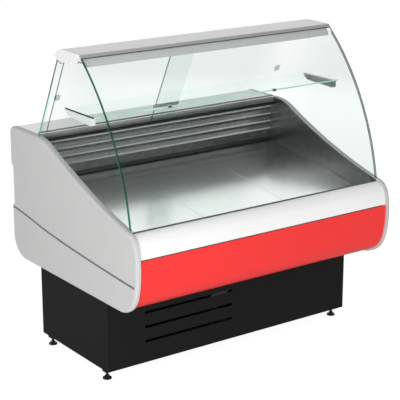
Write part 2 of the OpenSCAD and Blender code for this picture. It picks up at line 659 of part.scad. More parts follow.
base_frame();
foot_front_left();
foot_front_right();
foot_rear_left();
foot_rear_right();
plinth_front_panel();
plinth_left_panel();
plinth_right_panel();
service_grille();
base_tray();
compressor();
condenser_coil();
condenser_fan_housing();
condenser_fan_blade();
refrigerant_lines();
electrical_box();
evaporation_tray();
drain_pipe();
insulated_tub();
tub_liner();
rear_body_panel();
evaporator_coil();
evaporator_fan_plate();
evaporator_fan_left();
evaporator_fan_right();
front_upper_panel();
front_lower_panel();
glass_channel();
end_panel_left();
end_panel_right();
worktop();
louvre_panel();
deck_tray_left();
deck_tray_centre();
deck_tray_right();
control_panel();
thermostat_body();
thermostat_button_up();
thermostat_button_down();
light_switch();
power_switch();
front_glass();
glass_hinge_rail();
side_glass_left();
side_glass_right();
canopy_profile();
canopy_cap_left();
canopy_cap_right();
canopy_lamp();
upper_track();
lower_track();
rear_door_left();
rear_door_right();
door_pull_left();
door_pull_right();
door_lock_bar();
shelf_glass();
shelf_bracket_left();
shelf_bracket_right();
shelf_clips();
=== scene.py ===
"""Looks for the refrigerated deli counter: materials, rounded visual pieces, floor, light and camera.

Blender works in metres. Outlines are written in millimetres, as (depth, height) pairs in the CAD frame:
X runs along the counter, -Y is the customer side, +Y the staff side, Z is up.
"""

import json
import math

import bmesh
import bpy
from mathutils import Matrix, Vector

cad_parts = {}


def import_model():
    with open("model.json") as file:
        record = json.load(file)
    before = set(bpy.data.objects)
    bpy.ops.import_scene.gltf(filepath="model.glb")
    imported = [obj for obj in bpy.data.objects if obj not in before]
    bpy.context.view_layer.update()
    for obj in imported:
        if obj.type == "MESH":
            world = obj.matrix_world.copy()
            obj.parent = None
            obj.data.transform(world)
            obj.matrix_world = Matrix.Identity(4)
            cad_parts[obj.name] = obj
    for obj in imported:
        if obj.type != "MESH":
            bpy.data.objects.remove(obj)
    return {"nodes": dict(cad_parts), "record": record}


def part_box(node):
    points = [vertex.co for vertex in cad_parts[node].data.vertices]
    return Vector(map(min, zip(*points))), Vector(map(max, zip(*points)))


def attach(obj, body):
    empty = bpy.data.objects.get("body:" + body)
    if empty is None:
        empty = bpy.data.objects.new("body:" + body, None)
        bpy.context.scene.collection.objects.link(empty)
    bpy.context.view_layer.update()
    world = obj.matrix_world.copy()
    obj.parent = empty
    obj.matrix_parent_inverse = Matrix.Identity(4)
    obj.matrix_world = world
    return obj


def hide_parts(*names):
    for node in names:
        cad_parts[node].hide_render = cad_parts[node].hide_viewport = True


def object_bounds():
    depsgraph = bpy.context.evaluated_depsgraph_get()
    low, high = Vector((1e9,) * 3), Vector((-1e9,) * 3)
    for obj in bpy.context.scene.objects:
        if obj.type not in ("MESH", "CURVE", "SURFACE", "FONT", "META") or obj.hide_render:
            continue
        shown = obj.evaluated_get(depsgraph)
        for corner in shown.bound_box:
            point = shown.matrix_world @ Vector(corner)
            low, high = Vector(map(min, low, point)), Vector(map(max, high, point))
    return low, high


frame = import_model()
NODES = frame["nodes"]
CAD_LO, CAD_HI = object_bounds()
MM = 0.001
BODY_OF = {n: b for b, members in frame["record"]["behaviour"]["bodies"].items() for n in members}
SLOT_OF = {s["node"]: s["material_slot"] for s in frame["record"]["subparts"]}


def mm_box(node):
    """The CAD box of a node in millimetres: (x0, y0, z0), (x1, y1, z1)."""
    lo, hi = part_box(node)
    return [round(v / MM, 3) for v in lo], [round(v / MM, 3) for v in hi]


# ---------------------------------------------------------------- materials


class Look:
    """One procedural material. Each method adds a node and returns its output socket."""

    def __init__(self, name):
        self.mat = bpy.data.materials.new(name)
        self.mat.use_nodes = True
        self.tree = self.mat.node_tree
        self.tree.nodes.clear()
        self.place = self.add("TexCoord", out="Object")

    def add(self, kind, inputs=None, out=0, **props):
        node = self.tree.nodes.new("ShaderNode" + kind)
        for key, value in props.items():
            setattr(node, key, value)
        for key, value in (inputs or {}).items():
            if isinstance(value, bpy.types.NodeSocket):
                self.tree.links.new(value, node.inputs[key])
            else:
                node.inputs[key].default_value = value
        return node.outputs[out] if node.outputs else node

    def maths(self, how, a, b=0.0):
        return self.add("Math", {0: a, 1: b}, operation=how)

    def noise(self, size, stretch=(1, 1, 1), detail=3.0):
        """Grey noise with features about size mm across, drawn out along an axis by stretch."""
        scale = [1 / (size * MM * s) for s in stretch]
        place = self.add("VectorMath", {0: self.place, 1: scale}, operation="MULTIPLY")
        return self.add("TexNoise", {"Vector": place, "Scale": 1.0, "Detail": detail})

    def span(self, value, low, high, start=0.3, end=0.7):
        """value from start to end, mapped to low to high."""
        keys = {"Value": value, "From Min": start, "From Max": end, "To Min": low, "To Max": high}
        return self.add("MapRange", keys)

    def mix(self, factor, a, b):
        def four(c):
            return c if isinstance(c, bpy.types.NodeSocket) else (*c[:3], 1.0)

        return self.add("Mix", {0: factor, 6: four(a), 7: four(b)}, out=2, data_type="RGBA")

    def axis(self, n):
        """The place along X, Y or Z, for n from 0 to 2, in metres."""
        return self.add("SeparateXYZ", {0: self.place}, out=n)

    def shade(self, colour, amount, size, stretch=(1, 1, 1)):
        """colour, a little lighter and darker in patches about size mm across."""
        light = [min(1.0, c * (1 + amount)) for c in colour]
        dark = [c * (1 - amount) for c in colour]
        return self.mix(self.span(self.noise(size, stretch), 0.0, 1.0), dark, light)

    def edges(self, radius):
        """1 on edges and corners within radius mm, 0 on open faces."""
        bevelled = self.add("Bevel", {"Radius": radius * MM}, samples=4)
        true = self.add("NewGeometry", out="Normal")
        dot = self.add("VectorMath", {0: bevelled, 1: true}, out="Value", operation="DOT_PRODUCT")
        return self.span(dot, 1.0, 0.0, 0.90, 0.995)

    def bump(self, height, strength, depth, radius=0.0):
        keys = {"Height": height, "Strength": strength, "Distance": depth * MM}
        if radius:
            keys["Normal"] = self.add("Bevel", {"Radius": radius * MM}, samples=4)
        return self.add("Bump", keys)

    def surface(self, **values):
        names = {key.replace("_", " "): value for key, value in values.items()}
        names = {k: ((*v, 1.0) if isinstance(v, tuple) and len(v) == 3 else v) for k, v in names.items()}
        return self.add("BsdfPrincipled", names)

    def done(self, shader):
        self.add("OutputMaterial", {"Surface": shader})
        return self.mat


def paint(name, colour, rough=0.35, peel=1.6, strength=0.08, coat=0.0, specular=0.5, wear=None,
          patch=0.02):
    """Sprayed or powder coat: orange-peel bump peel mm across, edges rubbed towards wear.
    Colour and gloss differ from place to place by the share patch."""
    k = Look(name)
    base = k.shade(colour, patch, 260)
    if wear:
        rubbed = k.maths("MULTIPLY", k.edges(1.6), k.span(k.noise(9), 0.15, 0.6))
        base = k.mix(rubbed, base, wear)
    gloss = k.span(k.noise(60), rough - patch, rough + patch)
    normal = k.bump(k.noise(peel, detail=1.0), strength, 0.05, 0.6)
    return k.done(k.surface(Base_Color=base, Roughness=gloss, Normal=normal, Coat_Weight=coat,
                            Coat_Roughness=0.12, Specular_IOR_Level=specular))


def plastic(name, colour, rough=0.45, grain=0.9, strength=0.12, specular=0.5):
    """Moulded plastic: fine leather-like grain and faint flow marks along the part."""
    k = Look(name)
    base = k.shade(colour, 0.015, 220, (3, 1, 1))
    scuff = k.span(k.noise(14, (4, 1, 1)), rough - 0.05, rough + 0.06)
    cells = k.add("TexVoronoi", {"Vector": k.place, "Scale": 1 / (grain * MM)})
    normal = k.bump(cells, strength, 0.04, 0.5)
    return k.done(k.surface(Base_Color=base, Roughness=scuff, Normal=normal, Specular_IOR_Level=specular))


def brushed(name, colour, stretch, rough=0.28, strength=0.05, metallic=1.0, edge_highlight=None, front_shade=1.0):
    """Brushed sheet: hair lines along one axis, smears where it has been wiped, and, with an edge highlight
    colour, a painted highlight that lightens the edges towards it.
    With a front shade share below 1, painted shade darkens the sheet towards the customer side, down to that
    share of its colour."""
    k = Look(name)
    lines = k.noise(0.5, stretch, 2.0)
    base = k.mix(k.span(lines, 0.0, 1.0), [c * 0.94 for c in colour], [min(1, c * 1.05) for c in colour])
    # painted shade: darker towards the customer side
    if front_shade < 1:
        base = k.mix(k.span(k.axis(1), 1.0, 0.0, -0.32, 0.08), base, [c * front_shade for c in colour])
    # painted highlight: edges lighter and less metallic
    if edge_highlight:
        highlit_edges = k.edges(1.8)
        base = k.mix(highlit_edges, base, edge_highlight)
        metallic = k.span(highlit_edges, metallic, 0.2, 0.0, 1.0)
    wiped = k.span(k.noise(90, (2, 1, 1)), -0.012, 0.016)
    gloss = k.maths("ADD", k.span(lines, rough - 0.04, rough + 0.05), wiped)
    normal = k.bump(lines, strength, 0.02, 0.5)
    return k.done(k.surface(Base_Color=base, Metallic=metallic, Roughness=gloss, Normal=normal))


def zinc(name, colour):
    """Galvanised sheet: spangle patches about 9 mm across."""
    k = Look(name)
    cells = k.add("TexVoronoi", {"Vector": k.place, "Scale": 1 / (9 * MM)}, out="Color")
    tone = k.add("RGBToBW", {"Color": cells})
    base = k.mix(tone, [c * 0.85 for c in colour], colour)
    return k.done(k.surface(Base_Color=base, Metallic=0.9, Roughness=k.span(tone, 0.35, 0.55, 0.0, 1.0),
                            Normal=k.bump(k.noise(3), 0.1, 0.05)))


def pane(name, tint, shine, clear_at=None, band=None):
    """Face of a clear sheet: the view behind, faintly tinted, with a reflection that grows at a slant.

    clear_at: two distances from the middle plane, in metres, between which the tint fades out.
    band: a strip of another colour along one edge, as the direction into the sheet, the place of the edge
    in metres, the widths in mm where the colour is full and gone, the height in metres where it ends, and
    the colour.
    """
    k = Look(name)
    smear = k.span(k.noise(120, (1, 1, 3)), 0.0, 0.03)
    colour = (*tint, 1.0)
    if clear_at:
        side = k.maths("ABSOLUTE", k.axis(0))
        colour = k.mix(k.span(side, 0.0, 1.0, *clear_at), tint, (1, 1, 1))
    if band:
        inward, edge, full, gone, top, strip = band
        depth = k.add("VectorMath", {0: k.place, 1: inward}, out="Value", operation="DOT_PRODUCT")
        near = k.span(depth, 1.0, 0.0, edge + full * MM, edge + gone * MM)
        below = k.span(k.axis(2), 1.0, 0.0, top - 0.08, top)
        colour = k.mix(k.maths("MULTIPLY", near, below), colour, strip)
    through = k.add("BsdfTransparent", {"Color": colour})
    mirror = k.add("BsdfGlossy", {"Color": (1, 1, 1, 1), "Roughness": smear})
    slant = k.maths("POWER", k.add("LayerWeight", {"Blend": 0.5}, out="Facing"), 5.0)
    outside = k.maths("SUBTRACT", 1.0, k.add("NewGeometry", out="Backfacing"))
    share = k.maths("MULTIPLY", k.span(slant, 0.015 * shine, shine, 0.0, 1.0), outside)
    return k.done(k.add("MixShader", {0: share, 1: through, 2: mirror}))


def pane_edge(name, dark, light, size=60, rough=0.25, low=None):
    """Ground edge of a clear sheet: from dark to light along its length and, where a colour low is given,
    turning to that lighter colour lower down as a painted highlight.
    """
    k = Look(name)
    base = k.mix(k.span(k.noise(size), 0.0, 1.0), dark, light)
    # painted highlight: lighter lower down
    if low:
        base = k.mix(k.span(k.axis(2), 1.0, 0.0, 0.72, 1.12), base, low)
    gloss = k.span(k.noise(4), rough - 0.08, rough + 0.1)
    return k.done(k.surface(Base_Color=base, Roughness=gloss, Normal=k.bump(k.noise(1.2), 0.1, 0.05)))


ALONG_X = (120, 1, 1)
ALONG_Y = (1, 120, 1)
LOOK = {
    "end_panel_plastic": plastic("end_panel_plastic", (0.55, 0.55, 0.546), 0.5, 1.1, 0.10, 0.3),
    "white_panel": paint("white_panel", (0.94, 0.94, 0.935), 0.30, 1.8, 0.03, 0.3, patch=0.008),
    "red_panel": paint("red_panel", (0.93, 0.033, 0.031), 0.36, 1.8, 0.03, 0.2, patch=0.012),
    "black_plinth": paint("black_plinth", (0.011, 0.010, 0.010), 0.6, 0.7, 0.25, 0.0, 0.2,
                          wear=(0.05, 0.05, 0.05)),
    "frame_steel": paint("frame_steel", (0.02, 0.02, 0.022), 0.55, 0.8, 0.2),
    "galvanised": zinc("galvanised", (0.55, 0.56, 0.58)),
    "stainless": brushed("stainless", (0.50, 0.505, 0.50), ALONG_X, 0.24, 0.03),
    # tub walls and panel facings: painted shade, darker towards the customer side
    "stainless_wall": brushed("stainless_wall", (0.43, 0.435, 0.43), ALONG_X, 0.26, 0.02, front_shade=0.35),
    # louvre lips: lighter than the sheet, a painted highlight
    "stainless_lip_highlight": brushed("stainless_lip_highlight", (0.66, 0.665, 0.66), ALONG_X, 0.3, 0.02, 0.3),
    # deck trays: painted highlight along their edges
    "stainless_deck": brushed("stainless_deck", (0.64, 0.65, 0.64), ALONG_Y, 0.2, 0.04, edge_highlight=(0.8, 0.8, 0.8)),
    "worktop_plastic": brushed("worktop_plastic", (0.46, 0.46, 0.455), ALONG_X, 0.32, 0.03, 0.6),
    # dark grey for the faces of the panel groove: painted shade
    "groove_painted_shade": plastic("groove_painted_shade", (0.20, 0.20, 0.20), 0.6, 1.1, 0.1, 0.2),
    "hinge_grey": plastic("hinge_grey", (0.38, 0.385, 0.38), 0.5, 0.6, 0.1, 0.3),
    # darker stand-in for the bracket colour on the right shelf bracket: painted shade
    "bracket_painted_shade": brushed("bracket_painted_shade", (0.42, 0.425, 0.42), ALONG_Y, 0.4, 0.03, 0.6),
    "canopy_aluminium": brushed("canopy_aluminium", (0.66, 0.66, 0.66), ALONG_X, 0.42, 0.03, 0.2),
    "cap_plastic": plastic("cap_plastic", (0.85, 0.85, 0.84), 0.4, 0.8, 0.06),
    "black_rubber": plastic("black_rubber", (0.10, 0.11, 0.108), 0.6, 0.5, 0.2, 0.3),
    "track_plastic": plastic("track_plastic", (0.012, 0.012, 0.012), 0.5, 0.6, 0.1, 0.2),
    "grey_plastic": plastic("grey_plastic", (0.26, 0.27, 0.27), 0.42, 0.6, 0.1),
    "black_plastic": plastic("black_plastic", (0.015, 0.015, 0.016), 0.4, 0.6, 0.15),
    "insulation": paint("insulation", (0.45, 0.46, 0.46), 0.5, 2.5, 0.1),
    "coil_aluminium": brushed("coil_aluminium", (0.72, 0.73, 0.74), (1, 1, 60), 0.35),
    "copper": brushed("copper", (0.72, 0.34, 0.20), (1, 1, 20), 0.32, 0.04),
    "compressor_black": paint("compressor_black", (0.012, 0.012, 0.013), 0.3, 1.4, 0.1, 0.3),
    "fan_plastic": plastic("fan_plastic", (0.03, 0.03, 0.032), 0.45, 0.6, 0.1),
    "fan_aluminium": brushed("fan_aluminium", (0.70, 0.70, 0.68), (1, 1, 30), 0.4),
    "green_switch": plastic("green_switch", (0.01, 0.30, 0.07), 0.22, 0.5, 0.03),
    "lamp_white": plastic("lamp_white", (0.86, 0.86, 0.84), 0.35, 0.6, 0.03),
    "bracket_white": paint("bracket_white", (0.90, 0.90, 0.90), 0.35, 1.2, 0.06),
    "pull_plastic": plastic("pull_plastic", (0.68, 0.71, 0.70), 0.35, 0.6, 0.05),
    "spring_steel": brushed("spring_steel", (0.45, 0.46, 0.46), ALONG_X, 0.25),
}
CLEAR_TINT = (0.950, 0.965, 0.960)
SHELF_PANE = pane("shelf_pane", (0.955, 0.975, 0.968), 0.12)
# the low colours make the glass edges lighter green lower down: painted highlight
EDGE_DARK = pane_edge("glass_edge_dark", (0.004, 0.016, 0.011), (0.012, 0.05, 0.032), 120, 0.3,
                      low=(0.015, 0.19, 0.10))
EDGE_GREY = pane_edge("glass_edge_grey", (0.07, 0.10, 0.09), (0.18, 0.23, 0.21), 90)
EDGE_PALE = pane_edge("glass_edge_pale", (0.42, 0.76, 0.60), (0.62, 0.90, 0.76), 90)
EDGE_FADE = pane_edge("glass_edge_fade", (0.05, 0.09, 0.07), (0.12, 0.2, 0.16), 90, low=(0.50, 0.90, 0.72))
EDGE_CLEAR = pane("glass_edge_clear", (0.97, 0.985, 0.98), 0.1)


# ---------------------------------------------------------------- mesh helpers


def arc(centre, r, a0, a1, n):
    """Points on a circle from angle a0 to a1 in degrees."""
    angles = [math.radians(a0 + (a1 - a0) * i / n) for i in range(n + 1)]
    return [(centre[0] + r * math.cos(a), centre[1] + r * math.sin(a)) for a in angles]


def mesh_piece(name, verts, faces, mats, index=None):
    """A mesh object from points in millimetres, with one material index for each face."""
    mesh = bpy.data.meshes.new(name)
    mesh.from_pydata([Vector(v) * MM for v in verts], [], faces)
    for mat in mats:
        mesh.materials.append(mat)
    if index:
        mesh.polygons.foreach_set("material_index", index)
    shape = bmesh.new()
    shape.from_mesh(mesh)
    bmesh.ops.recalc_face_normals(shape, faces=shape.faces)
    shape.to_mesh(mesh)
    shape.free()
    obj = bpy.data.objects.new(name, mesh)
    bpy.context.scene.collection.objects.link(obj)
    return obj


def soften(obj, width=0.0, segments=2, limit=32):
    """Rounds the hard edges by width mm and smooths the curved faces."""
    obj.data.shade_smooth()
    obj.data.set_sharp_from_angle(angle=math.radians(limit))
    if width:
        m = obj.modifiers.new("rounding", "BEVEL")
        m.width, m.segments = width * MM, segments
        m.limit_method, m.angle_limit = "ANGLE", math.radians(limit)
        m.harden_normals = True
    obj.modifiers.new("normals", "WEIGHTED_NORMAL").keep_sharp = True
    return obj


def stand_for(obj, *cad):
    """obj rides with the body of the first CAD node it replaces, and those nodes are hidden."""
    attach(obj, BODY_OF[cad[0]])
    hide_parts(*cad)
    return obj


def prism(name, outline, x0, x1, mats, sides=None, ends=(0, 0)):
    """A closed outline of (depth, height) drawn out along X, with a material index for each side and end."""
    n = len(outline)
    verts = [(x, y, z) for x in (x0, x1) for y, z in outline]
    faces = [(i, (i + 1) % n, n + (i + 1) % n, n + i) for i in range(n)]
    faces += [tuple(range(n - 1, -1, -1)), tuple(range(n, 2 * n))]
    return mesh_piece(name, verts, faces, mats, (sides or [0] * n) + list(ends))


def cut(obj, cutter):
    """Takes cutter out of obj, and throws the cutter away."""
    m = obj.modifiers.new("cut", "BOOLEAN")
    m.operation, m.solver, m.object, m.material_mode = "DIFFERENCE", "EXACT", cutter, "TRANSFER"
    deps = bpy.context.evaluated_depsgraph_get()
    deps.update()
    made = bpy.data.meshes.new_from_object(obj.evaluated_get(deps))
    obj.modifiers.clear()
    obj.data = made
    bpy.data.objects.remove(cutter)


# ---------------------------------------------------------------- end panels

(IN_X, _, BODY_Z), (HALF_W, HALF_D, WORK_Z) = mm_box("end_panel_right")
HUMP, HUMP_R, HUMP_A, FALL_A = (262, WORK_Z - 225), 225, 26.5, 12.6
NOSE, NOSE_R, NOSE_A = (-399.1, 608.4), 70, 164
BOW, BOW_R = (-178, 545), 300
LOW, LOW_R, LOW_A = (-58, 545), 420, 194.8
TOE, TOE_R = (-345, BODY_Z + 123.1), 123.1
HEEL, HEEL_R = (HALF_D - 95, BODY_Z + 95), 95
REAR, REAR_R = (HALF_D - 25, WORK_Z - 25), 25


def up_from(centre, r, a):
    """The point of a circle that lies a degrees from its top, towards the customer side."""
    a = math.radians(a)
    return (centre[0] - r * math.sin(a), centre[1] + r * math.cos(a))


def fall_line(d, n=24):
    """Top of the panel: round the hump at the worktop, then the hollow fall to the nose, d mm inside."""
    hump_end, nose_top = up_from(HUMP, HUMP_R, HUMP_A), up_from(NOSE, NOSE_R, FALL_A)
    run = math.dist(hump_end, nose_top)
    r = run / (2 * math.sin(math.radians(HUMP_A - FALL_A) / 2))
    centre = up_from(hump_end, r, HUMP_A)
    hollow = [up_from(centre, -(r + d), HUMP_A + (FALL_A - HUMP_A) * i / n) for i in range(1, n + 1)]
    return arc(HUMP, HUMP_R - d, 90, 90 + HUMP_A, 14) + hollow


def panel_line(d):
    return (arc(REAR, REAR_R - d, 0, 90, 10) + fall_line(d) + arc(NOSE, NOSE_R - d, 93 + FALL_A, NOSE_A, 16)
            + arc(BOW, BOW_R - d, NOSE_A + 2, 180, 8) + arc(LOW, LOW_R - d, 182, LOW_A, 8)
            + arc(TOE, TOE_R - d, LOW_A + 4, 270, 18) + arc(HEEL, HEEL_R - d, 270, 360, 20))


def front_run(d, start, end):
    """The front bow only, from angle start on the nose to angle end on the toe, d mm inside."""
    return (arc(NOSE, NOSE_R - d, start, NOSE_A, 18) + arc(BOW, BOW_R - d, NOSE_A + 1, 180, 10)
            + arc(LOW, LOW_R - d, 181, LOW_A, 12) + arc(TOE, TOE_R - d, LOW_A + 2, end, 16))


def bezier(p, q, r, s, n):
    out = []
    for i in range(n + 1):
        t = i / n
        k = ((1 - t) ** 3, 3 * t * (1 - t) ** 2, 3 * t * t * (1 - t), t ** 3)
        out.append(tuple(sum(w * c[j] for w, c in zip(k, (p, q, r, s))) for j in (0, 1)))
    return out


def end_panel(name, side):
    mats = [LOOK["end_panel_plastic"]]
    round_r, steps = 12, 8
    rings = [(IN_X, 1.2), (IN_X + 1.2, 0)]
    for i in range(steps + 1):
        a = math.pi / 2 * i / steps
        rings.append((HALF_W - round_r + round_r * math.sin(a), round_r * (1 - math.cos(a))))
    n = len(panel_line(0))
    verts = [(side * x, y, z) for x, d in rings for y, z in panel_line(d)]
    faces = [tuple(range(n)), tuple((len(rings) - 1) * n + i for i in range(n - 1, -1, -1))]
    for k in range(len(rings) - 1):
        for i in range(n):
            j = (i + 1) % n
            faces.append((k * n + i, (k + 1) * n + i, (k + 1) * n + j, k * n + j))
    obj = mesh_piece(name, verts, faces, mats)
    # steel facing over the tub end, recess down the rear edge, and the rebate for the ends of the front skins
    facing = [(305, WORK_Z - 2)] + fall_line(2) + fall_line(130)[::-1] + [(305, WORK_Z - 130)]
    rear, inner = HALF_D + 20, HALF_D - 22
    recess = [(rear, 566), (rear, 742), (inner + 8, 742), (inner, 734), (inner, 574), (inner + 8, 566)]
    rebate = front_run(-8, 101, 248) + front_run(12.5, 101, 248)[::-1]
    # the facing takes the tub wall steel, with its painted shade towards the customer side
    for outline, depth, look in ((facing, 0.4, [LOOK["stainless_wall"]]), (recess, HALF_W - IN_X + 3, mats),
                                 (rebate, 10, mats)):
        cut(obj, prism("cutter", outline, *sorted((side * (IN_X - 3), side * (IN_X + depth))), look))
    # moulded groove from the rear step, falling gently to the edge of the front bow; its faces take a dark
    # grey, painted shade in the groove
    path = bezier((HALF_D + 20, 562), (440, 561), (330, 545), (245, 531), 20)
    path += bezier((245, 531), (120, 511), (-220, 484), (-458, 472), 30)[1:]
    half, depth = 4.6, 4.2
    section = [(-half - 1, 2), (-half, 0)] + [
        (half * math.sin(a), -depth * math.cos(a)) for a in [math.radians(-80 + 20 * i) for i in range(9)]
    ] + [(half, 0), (half + 1, 2)]
    m = len(section)
    verts = [(side * (HALF_W + out), y, z + across) for y, z in path for across, out in section]
    faces = [tuple(range(m)), tuple((len(path) - 1) * m + i for i in range(m - 1, -1, -1))]
    for k in range(len(path) - 1):
        for i in range(m):
            j = (i + 1) % m
            faces.append((k * m + i, (k + 1) * m + i, (k + 1) * m + j, k * m + j))
    cut(obj, mesh_piece("cutter", verts, faces, [LOOK["groove_painted_shade"]]))
    stand_for(soften(obj, limit=40), "end_panel_left" if side < 0 else "end_panel_right")


end_panel("side_moulding_left", -1)
end_panel("side_moulding_right", 1)

# ---------------------------------------------------------------- front skins

SKIN_OUT, SKIN_IN = 9, 12
JOINT_Z = 579
JOINT_A = math.degrees(math.asin((JOINT_Z - LOW[1]) / (LOW_R - SKIN_OUT)))


def skin(name, cad, line):
    outline = line(SKIN_OUT) + line(SKIN_IN)[::-1]
    (x0, _, _), (x1, _, _) = mm_box(cad)
    obj = prism(name, outline, x0, x1, [LOOK[SLOT_OF[cad]]])
    stand_for(soften(obj, 0.7, 2, 30), cad)


def upper_line(d):
    start = 180 - JOINT_A * 1.41
    return arc(BOW, BOW_R - d, start, NOSE_A, 10) + arc(NOSE, NOSE_R - d, NOSE_A, 104, 18)[1:]


def lower_line(d):
    return (arc(BOW, BOW_R - d, 180.6 - JOINT_A * 1.36, 180, 6) + arc(LOW, LOW_R - d, 180, LOW_A, 10)[1:]
            + arc(TOE, TOE_R - d, LOW_A, 245, 16)[1:])


skin("front_skin_white", "front_upper_panel", upper_line)
skin("front_skin_red", "front_lower_panel", lower_line)

# ---------------------------------------------------------------- glass

GLASS_C, GLASS_R, GLASS_T = (598, 514), 1020, 6
(GLASS_LEFT, _, GLASS_LOW), (_, _, GLASS_TOP) = mm_box("front_glass")
# the rear edge of a side glass runs along depth = REAR_Y - REAR_LEAN * height
REAR_Y, REAR_LEAN = 720, 0.503
REAR_IN, REAR_AT = Vector((0, -1, -REAR_LEAN)).normalized(), -REAR_Y * MM / math.hypot(1, REAR_LEAN)
FRONT_PANE = pane("front_pane", CLEAR_TINT, 0.9,
                  band=((1, 0, 0), GLASS_LEFT * MM, 4, 5, 1.4, (0.16, 0.46, 0.33)))
# left side glass: the pale green band along its rear edge stops 1.13 m up, so the edge shows lighter lower
# down, a painted highlight
SIDE_PANE = pane("side_pane", CLEAR_TINT, 0.9, band=(REAR_IN, REAR_AT, 10, 13, 1.13, (0.74, 0.94, 0.86)))
FAR_PANE = pane("far_pane", CLEAR_TINT, 0.9, band=(REAR_IN, REAR_AT, 20, 220, 1.5, (1.0, 1.0, 1.0)))
A_LOW = 180 - math.degrees(math.asin((GLASS_LOW + 0.4 - GLASS_C[1]) / GLASS_R))
A_TOP = 180 - math.degrees(math.asin((GLASS_TOP - GLASS_C[1]) / GLASS_R))


def sheet(name, cad, outline, mats, sides, ends):
    """A clear sheet as wide as its CAD node: faces show what is behind, rims are the ground edge."""
    (x0, _, _), (x1, _, _) = mm_box(cad)
    obj = prism(name, outline, x0, x1, mats, sides, ends)
    obj.data.shade_smooth()
    obj.data.set_sharp_from_angle(angle=math.radians(30))
    stand_for(obj, cad)


def front_sheet():
    n = 72
    outline = arc(GLASS_C, GLASS_R, A_TOP, A_LOW, n) + arc(GLASS_C, GLASS_R - GLASS_T, A_LOW, A_TOP, n)
    sides = [1 if i in (n, 2 * n + 1) else 0 for i in range(len(outline))]
    sheet("front_sheet", "front_glass", outline, [FRONT_PANE, EDGE_DARK], sides, (1, 1))


front_sheet()


def side_sheet(name, cad, face, rear_edge):
    """The foot stands in the panel, so the outline runs a little under the panel top."""
    outline = [(REAR_Y - REAR_LEAN * z, z) for z in (1240, WORK_Z + 1)] + fall_line(8)[4:-3]
    outline += arc(GLASS_C, GLASS_R - GLASS_T - 1.5, A_LOW - 0.15, A_TOP + 1.2, 40) + [(-58, 1252)]
    sheet(name, cad, outline, [EDGE_GREY, face, rear_edge], [2] + [0] * (len(outline) - 1), (1, 1))


side_sheet("side_sheet_left", "side_glass_left", SIDE_PANE, EDGE_FADE)
side_sheet("side_sheet_right", "side_glass_right", FAR_PANE, EDGE_CLEAR)


def leaning(y, z, lean=math.radians(26.7)):
    """A point of the leaning door frame, square to the glass and up the slope, in (depth, height)."""
    return (y * math.cos(lean) - z * math.sin(lean), y * math.sin(lean) + z * math.cos(lean))


# how far the two grooves of the door rail lie behind the origin, square to the doors
TRACK_F, TRACK_R = 641.5, 655.8


def door_sheet(label, plane, low):
    """A door from low to 1061 mm up the slope. Only its inner end shows as a grey line."""
    cad = "rear_door_" + label
    half, top = 2.5, 1061
    corners = [leaning(plane + y, z) for y, z in ((-half, low), (half, low), (half, top), (-half, top))]
    face = pane("door_pane_" + label, (0.940, 0.957, 0.951), 0.5, clear_at=(0.40, 0.56),
                band=((1, 0, 0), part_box(cad)[0].x, 3, 4, 1.4, (0.66, 0.70, 0.69)))
    sheet("door_sheet_" + label, cad, corners, [EDGE_GREY, face, EDGE_CLEAR], [2, 1, 0, 1], (0, 2))


door_sheet("left", TRACK_R, 682.6)
door_sheet("right", TRACK_F, 660.6)


def shelf_sheet():
    (_, y0, z0), (_, y1, z1) = mm_box("shelf_glass")
    sheet("shelf_sheet", "shelf_glass", [(y0, z0), (y1, z0), (y1, z1), (y0, z1)],
          [EDGE_PALE, SHELF_PANE, EDGE_CLEAR, EDGE_DARK], [1, 2, 1, 0], (3, 2))


shelf_sheet()

# ---------------------------------------------------------------- door rail and louvres


def door_rail():
    """Lower door rail: black channel below, dark as painted shade in the gap under the rail, upper wall in
    the colour of the worktop.
    """
    black = [(TRACK_F - 6, 656), (TRACK_F - 6, 668), (TRACK_F - 3.8, 668), (TRACK_F - 3.8, 660)]
    walls = [(TRACK_F + 3.8, 660), (TRACK_F + 3.8, 690), (TRACK_R - 3.8, 690), (TRACK_R - 3.8, 682),
             (TRACK_R + 3.8, 682), (TRACK_R + 3.8, 690), (TRACK_R + 6, 690)]
    under = [(TRACK_R + 6, 677), (TRACK_R - 2, 677), (TRACK_R - 8.5, 660), (TRACK_R - 8.5, 656)]
    outline = [leaning(*p) for p in black + walls + under]
    (x0, _, _), (x1, _, _) = mm_box("lower_track")
    obj = prism("door_rail", outline, x0, x1, [LOOK["track_plastic"], LOOK["worktop_plastic"]],
                [0] * 3 + [1] * 9 + [0] * 3)
    stand_for(soften(obj, 0.7, 2, 30), "lower_track")


door_rail()


